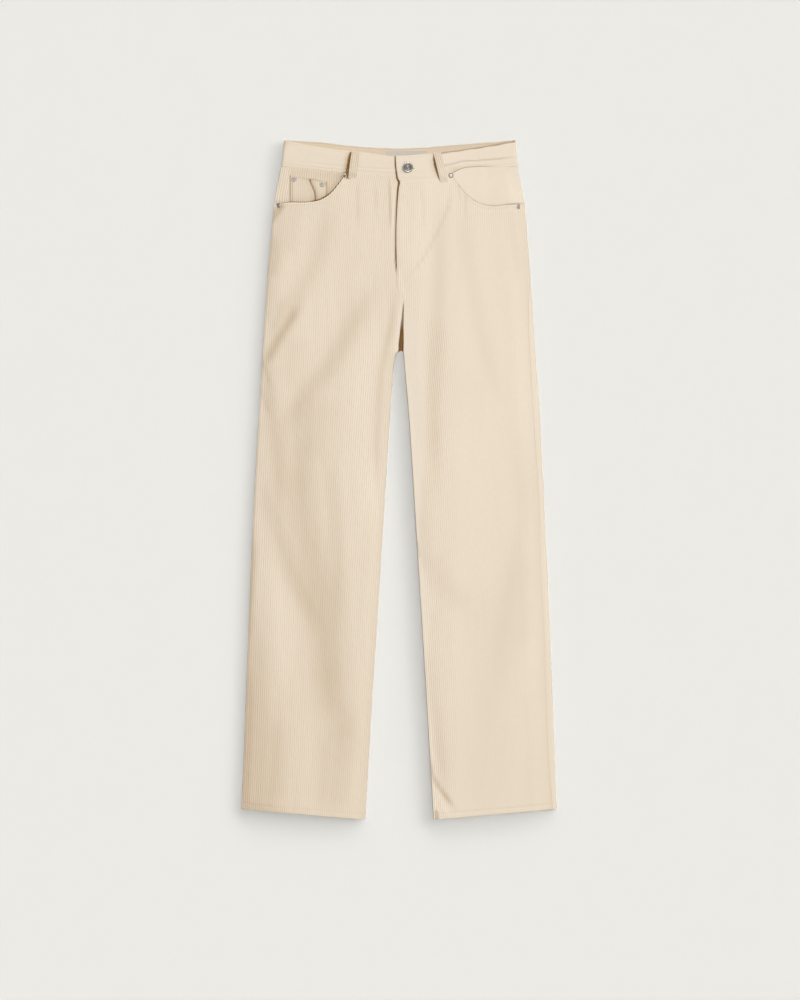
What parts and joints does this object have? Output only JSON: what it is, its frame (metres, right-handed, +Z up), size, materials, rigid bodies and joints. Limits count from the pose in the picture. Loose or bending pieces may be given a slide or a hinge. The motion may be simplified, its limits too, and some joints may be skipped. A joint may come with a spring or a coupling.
{
  "type": "corduroy trousers",
  "caption": "High-waisted straight corduroy trousers laid flat, front up: fly with shank button, curved front pockets, coin pocket, belt loops and hemmed legs.",
  "frame": {"origin": "middle of the garment's outline, on the surface that it lies on", "axes": "+Y from the hems to the waist, +X to the wearer's left, +Z up from the surface, out of the front of the garment"},
  "size_m": [0.5064, 1.0878, 0.0172],
  "materials": {
    "corduroy": "8-wale cotton corduroy, cream, soft brushed nap",
    "corduroy_inside": "plain woven back of the corduroy",
    "label": "plain woven tape, greyish beige, bare",
    "metal": "aged nickel, satin"
  },
  "bodies": {
    "root": {"front_panel_right": "corduroy", "front_panel_left": "corduroy", "back_panel_right": "corduroy", "back_panel_left": "corduroy", "pocket_facing_right": "corduroy", "pocket_facing_left": "corduroy", "coin_pocket": "corduroy", "fly_shield": "corduroy_inside", "waistband_front_right": "corduroy", "waistband_front_left": "corduroy", "waistband_back": "corduroy", "belt_loop_front_right": "corduroy", "belt_loop_front_left": "corduroy", "belt_loop_back_right": "corduroy", "belt_loop_back_centre": "corduroy", "belt_loop_back_left": "corduroy", "waist_label": "label", "button": "metal", "rivet_mouth_top_right": "metal", "rivet_mouth_top_left": "metal", "rivet_mouth_side_right": "metal", "rivet_mouth_side_left": "metal", "rivet_coin_outer": "metal", "rivet_coin_inner": "metal"}
  },
  "joints": []
}
